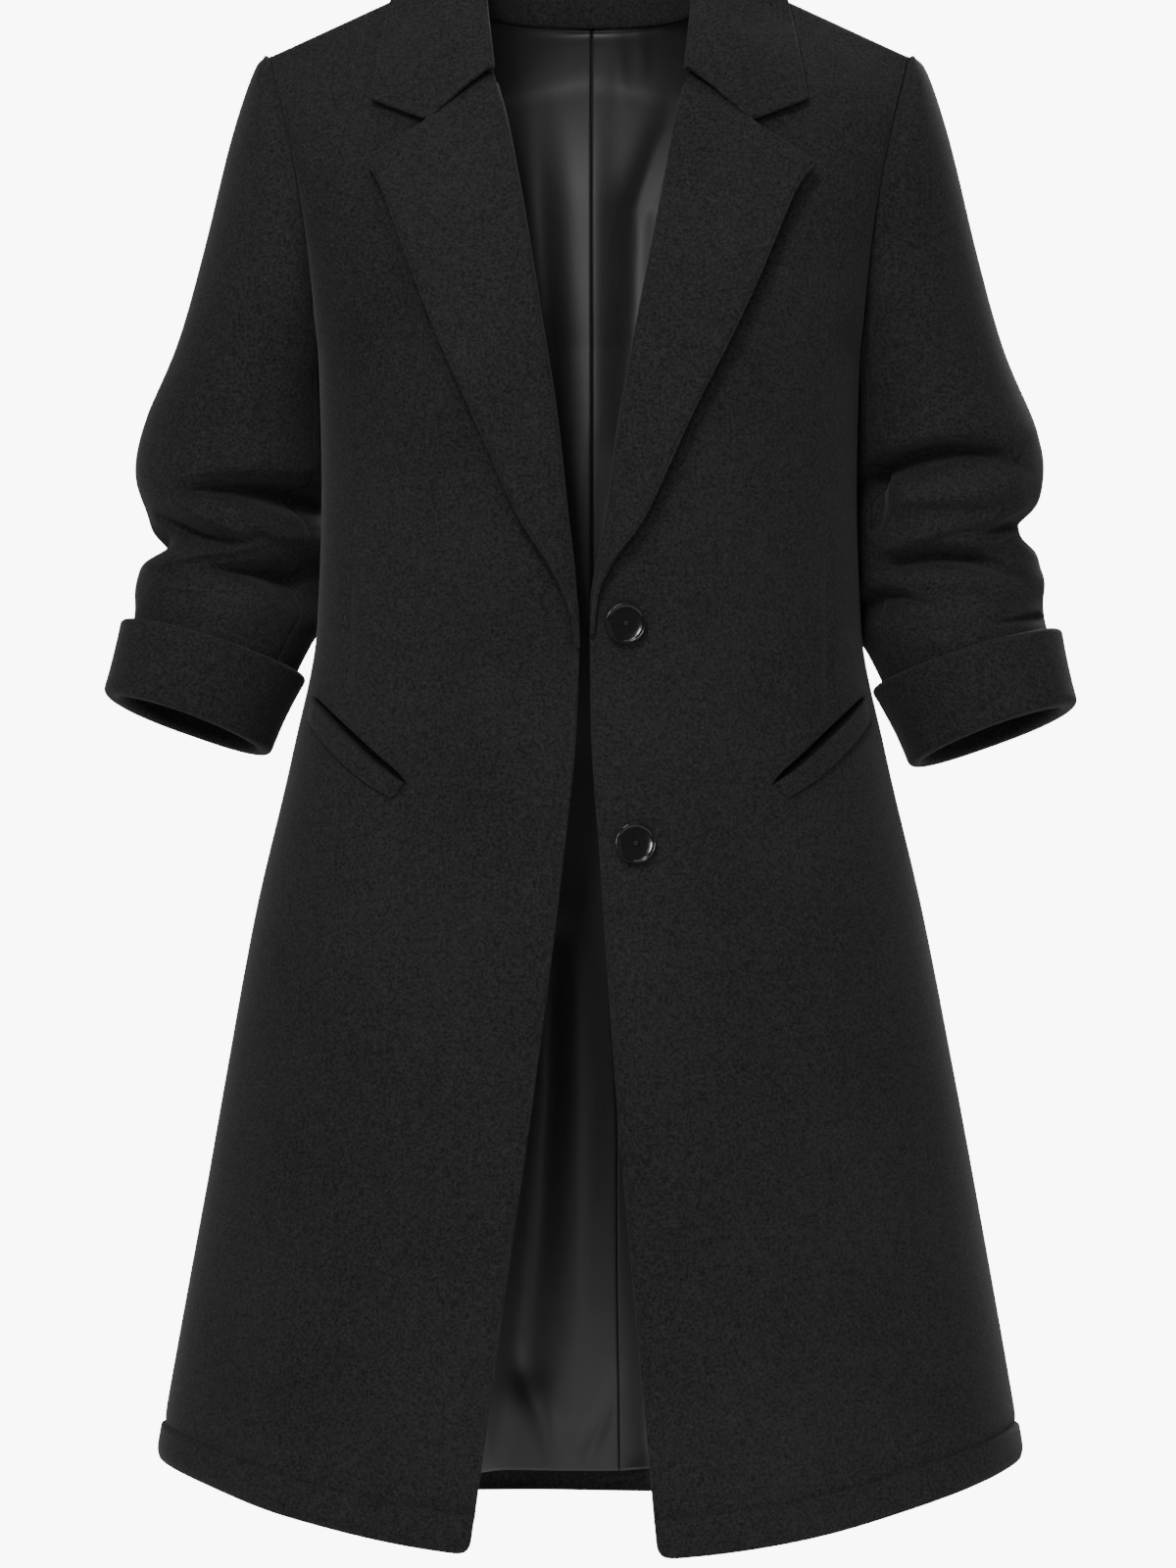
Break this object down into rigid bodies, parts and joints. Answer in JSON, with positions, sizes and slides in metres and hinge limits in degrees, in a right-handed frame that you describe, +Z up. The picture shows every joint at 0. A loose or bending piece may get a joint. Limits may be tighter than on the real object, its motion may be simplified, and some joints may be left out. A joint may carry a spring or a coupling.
{
  "type": "button-up coat",
  "caption": "Hollow knee-length wool coat as worn, with notched collar and lapels, turned-back cuffs, slanted welt pockets, a satin back lining and a buttoned open front.",
  "frame": {"origin": "midway between the shoulder seams, level with the middle of the shoulder slope, where a wearer's shoulders carry the coat", "axes": "+Z up along the coat's length, +Y to the back of the coat, +X to the wearer's left"},
  "size_m": [0.6417, 0.3368, 1.057],
  "materials": {
    "wool_cloth": "soft brushed wool, matt",
    "satin_lining": "satin weave, soft shine",
    "button_plastic": "polished"
  },
  "bodies": {
    "root": {"front_left": "wool_cloth", "front_right": "wool_cloth", "back": "wool_cloth", "sleeve_upper_left": "wool_cloth", "sleeve_under_left": "wool_cloth", "sleeve_upper_right": "wool_cloth", "sleeve_under_right": "wool_cloth", "cuff_left": "wool_cloth", "cuff_right": "wool_cloth", "collar": "wool_cloth", "lapel_left": "wool_cloth", "lapel_right": "wool_cloth", "pocket_welt_left": "wool_cloth", "pocket_welt_right": "wool_cloth", "lining_back_left": "satin_lining", "lining_back_right": "satin_lining", "button_upper": "button_plastic", "button_lower": "button_plastic"}
  },
  "joints": []
}
